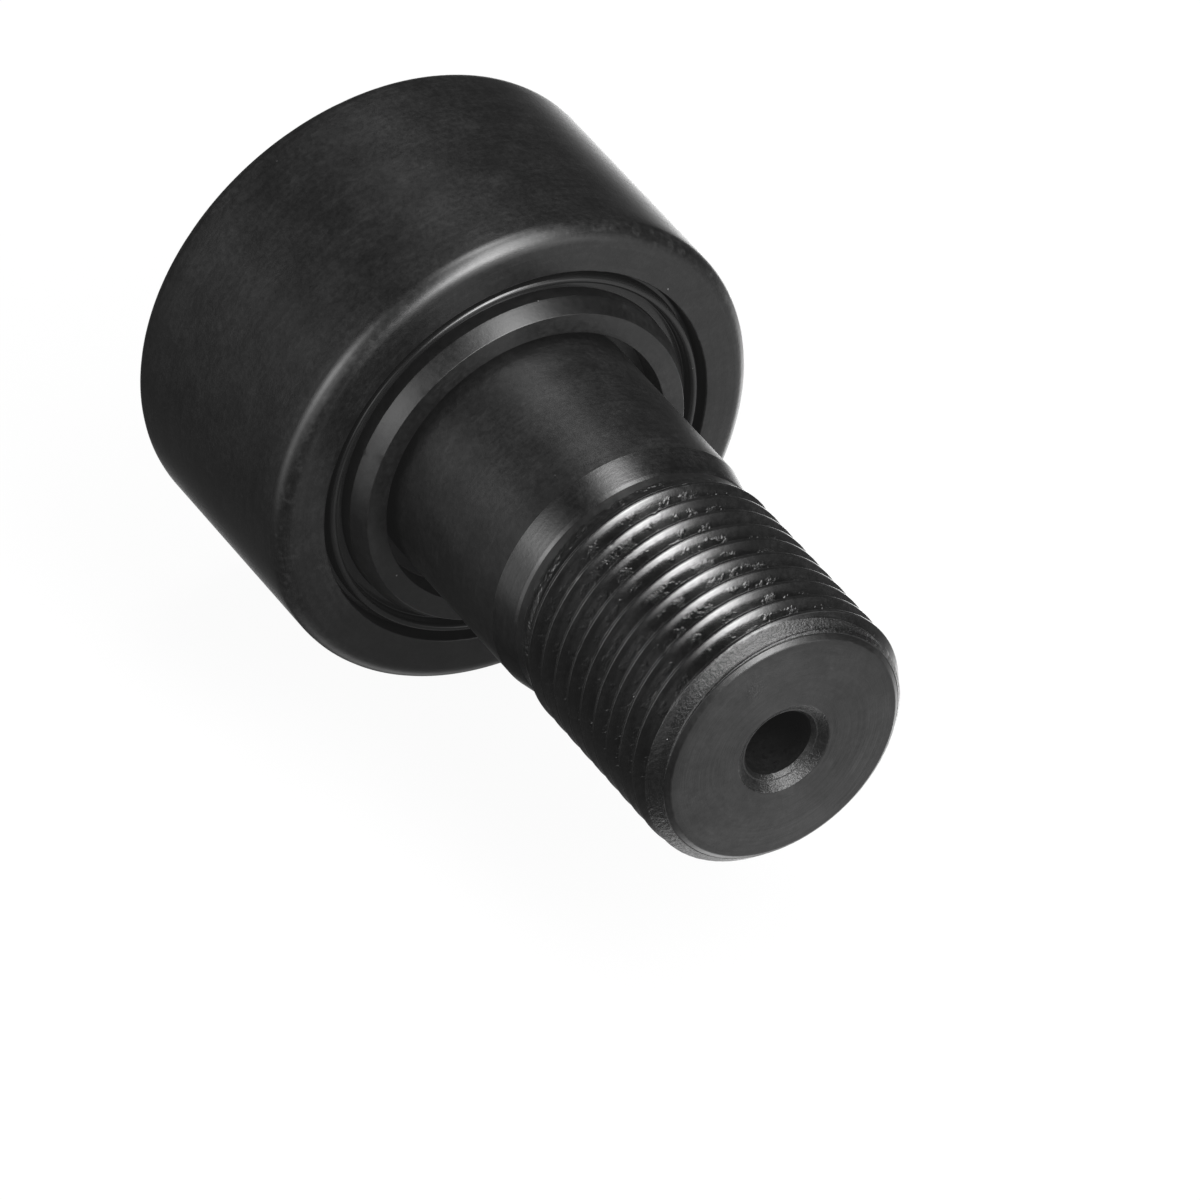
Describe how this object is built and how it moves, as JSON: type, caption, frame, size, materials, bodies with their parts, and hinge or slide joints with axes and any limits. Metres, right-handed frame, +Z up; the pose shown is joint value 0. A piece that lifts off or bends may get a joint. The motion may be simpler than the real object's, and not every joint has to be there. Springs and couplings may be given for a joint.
{
  "type": "stud-type track roller",
  "caption": "Sealed stud-type track roller: a thick rolling outer ring on a caged needle bearing round a plain shank with a threaded end and lubrication hole.",
  "frame": {"origin": "centre of the outer ring, on its axis at the middle of its width", "axes": "Y along the axis the roller turns about, with the stud and its thread pointing along -Y and the flange head at +Y; +Z up, X across"},
  "size_m": [0.035, 0.0528, 0.035],
  "materials": {
    "ring_steel": "black oxide, satin, hardened and ground",
    "stud_steel": "black oxide, lightly oiled, rolled thread",
    "endplate_steel": "black oxide, satin",
    "seal_plastic": "smooth black seal compound",
    "needle_steel": "ground and bright bearing steel",
    "cage_steel": "formed sheet steel"
  },
  "bodies": {
    "stud_side": {"stud": "stud_steel", "endplate": "endplate_steel", "near_seal": "seal_plastic", "far_seal": "seal_plastic"},
    "roller": {"outer_ring": "ring_steel"},
    "cage": {"needle_cage": "cage_steel"},
    "needle_01": {"needle_01": "needle_steel"},
    "needle_02": {"needle_02": "needle_steel"},
    "needle_03": {"needle_03": "needle_steel"},
    "needle_04": {"needle_04": "needle_steel"},
    "needle_05": {"needle_05": "needle_steel"},
    "needle_06": {"needle_06": "needle_steel"},
    "needle_07": {"needle_07": "needle_steel"},
    "needle_08": {"needle_08": "needle_steel"},
    "needle_09": {"needle_09": "needle_steel"},
    "needle_10": {"needle_10": "needle_steel"},
    "needle_11": {"needle_11": "needle_steel"},
    "needle_12": {"needle_12": "needle_steel"},
    "needle_13": {"needle_13": "needle_steel"},
    "needle_14": {"needle_14": "needle_steel"},
    "needle_15": {"needle_15": "needle_steel"},
    "needle_16": {"needle_16": "needle_steel"},
    "needle_17": {"needle_17": "needle_steel"},
    "needle_18": {"needle_18": "needle_steel"}
  },
  "joints": [
    {"name": "roller_spin", "type": "hinge", "parent": "stud_side", "child": "roller", "pos_m": [0, 0, 0], "axis": [0, 1, 0], "continuous": true},
    {"name": "cage_spin", "type": "hinge", "parent": "stud_side", "child": "cage", "pos_m": [0, 0, 0], "axis": [0, 1, 0], "continuous": true},
    {"name": "needle_01_spin", "type": "hinge", "parent": "cage", "child": "needle_01", "pos_m": [0.01134, 0, 0], "axis": [0, 1, 0], "continuous": true},
    {"name": "needle_02_spin", "type": "hinge", "parent": "cage", "child": "needle_02", "pos_m": [0.01066, 0, -0.00388], "axis": [0, 1, 0], "continuous": true},
    {"name": "needle_03_spin", "type": "hinge", "parent": "cage", "child": "needle_03", "pos_m": [0.00869, 0, -0.00729], "axis": [0, 1, 0], "continuous": true},
    {"name": "needle_04_spin", "type": "hinge", "parent": "cage", "child": "needle_04", "pos_m": [0.00567, 0, -0.00983], "axis": [0, 1, 0], "continuous": true},
    {"name": "needle_05_spin", "type": "hinge", "parent": "cage", "child": "needle_05", "pos_m": [0.00197, 0, -0.01117], "axis": [0, 1, 0], "continuous": true},
    {"name": "needle_06_spin", "type": "hinge", "parent": "cage", "child": "needle_06", "pos_m": [-0.00197, 0, -0.01117], "axis": [0, 1, 0], "continuous": true},
    {"name": "needle_07_spin", "type": "hinge", "parent": "cage", "child": "needle_07", "pos_m": [-0.00567, 0, -0.00983], "axis": [0, 1, 0], "continuous": true},
    {"name": "needle_08_spin", "type": "hinge", "parent": "cage", "child": "needle_08", "pos_m": [-0.00869, 0, -0.00729], "axis": [0, 1, 0], "continuous": true},
    {"name": "needle_09_spin", "type": "hinge", "parent": "cage", "child": "needle_09", "pos_m": [-0.01066, 0, -0.00388], "axis": [0, 1, 0], "continuous": true},
    {"name": "needle_10_spin", "type": "hinge", "parent": "cage", "child": "needle_10", "pos_m": [-0.01134, 0, 0], "axis": [0, 1, 0], "continuous": true},
    {"name": "needle_11_spin", "type": "hinge", "parent": "cage", "child": "needle_11", "pos_m": [-0.01066, 0, 0.00388], "axis": [0, 1, 0], "continuous": true},
    {"name": "needle_12_spin", "type": "hinge", "parent": "cage", "child": "needle_12", "pos_m": [-0.00869, 0, 0.00729], "axis": [0, 1, 0], "continuous": true},
    {"name": "needle_13_spin", "type": "hinge", "parent": "cage", "child": "needle_13", "pos_m": [-0.00567, 0, 0.00983], "axis": [0, 1, 0], "continuous": true},
    {"name": "needle_14_spin", "type": "hinge", "parent": "cage", "child": "needle_14", "pos_m": [-0.00197, 0, 0.01117], "axis": [0, 1, 0], "continuous": true},
    {"name": "needle_15_spin", "type": "hinge", "parent": "cage", "child": "needle_15", "pos_m": [0.00197, 0, 0.01117], "axis": [0, 1, 0], "continuous": true},
    {"name": "needle_16_spin", "type": "hinge", "parent": "cage", "child": "needle_16", "pos_m": [0.00567, 0, 0.00983], "axis": [0, 1, 0], "continuous": true},
    {"name": "needle_17_spin", "type": "hinge", "parent": "cage", "child": "needle_17", "pos_m": [0.00869, 0, 0.00729], "axis": [0, 1, 0], "continuous": true},
    {"name": "needle_18_spin", "type": "hinge", "parent": "cage", "child": "needle_18", "pos_m": [0.01066, 0, 0.00388], "axis": [0, 1, 0], "continuous": true}
  ],
  "couplings": [
    {"joint": "cage_spin", "follows": "roller_spin", "ratio": 0.55509},
    {"joint": "needle_01_spin", "follows": "roller_spin", "ratio": 4.4829},
    {"joint": "needle_02_spin", "follows": "roller_spin", "ratio": 4.4829},
    {"joint": "needle_03_spin", "follows": "roller_spin", "ratio": 4.4829},
    {"joint": "needle_04_spin", "follows": "roller_spin", "ratio": 4.4829},
    {"joint": "needle_05_spin", "follows": "roller_spin", "ratio": 4.4829},
    {"joint": "needle_06_spin", "follows": "roller_spin", "ratio": 4.4829},
    {"joint": "needle_07_spin", "follows": "roller_spin", "ratio": 4.4829},
    {"joint": "needle_08_spin", "follows": "roller_spin", "ratio": 4.4829},
    {"joint": "needle_09_spin", "follows": "roller_spin", "ratio": 4.4829},
    {"joint": "needle_10_spin", "follows": "roller_spin", "ratio": 4.4829},
    {"joint": "needle_11_spin", "follows": "roller_spin", "ratio": 4.4829},
    {"joint": "needle_12_spin", "follows": "roller_spin", "ratio": 4.4829},
    {"joint": "needle_13_spin", "follows": "roller_spin", "ratio": 4.4829},
    {"joint": "needle_14_spin", "follows": "roller_spin", "ratio": 4.4829},
    {"joint": "needle_15_spin", "follows": "roller_spin", "ratio": 4.4829},
    {"joint": "needle_16_spin", "follows": "roller_spin", "ratio": 4.4829},
    {"joint": "needle_17_spin", "follows": "roller_spin", "ratio": 4.4829},
    {"joint": "needle_18_spin", "follows": "roller_spin", "ratio": 4.4829}
  ]
}
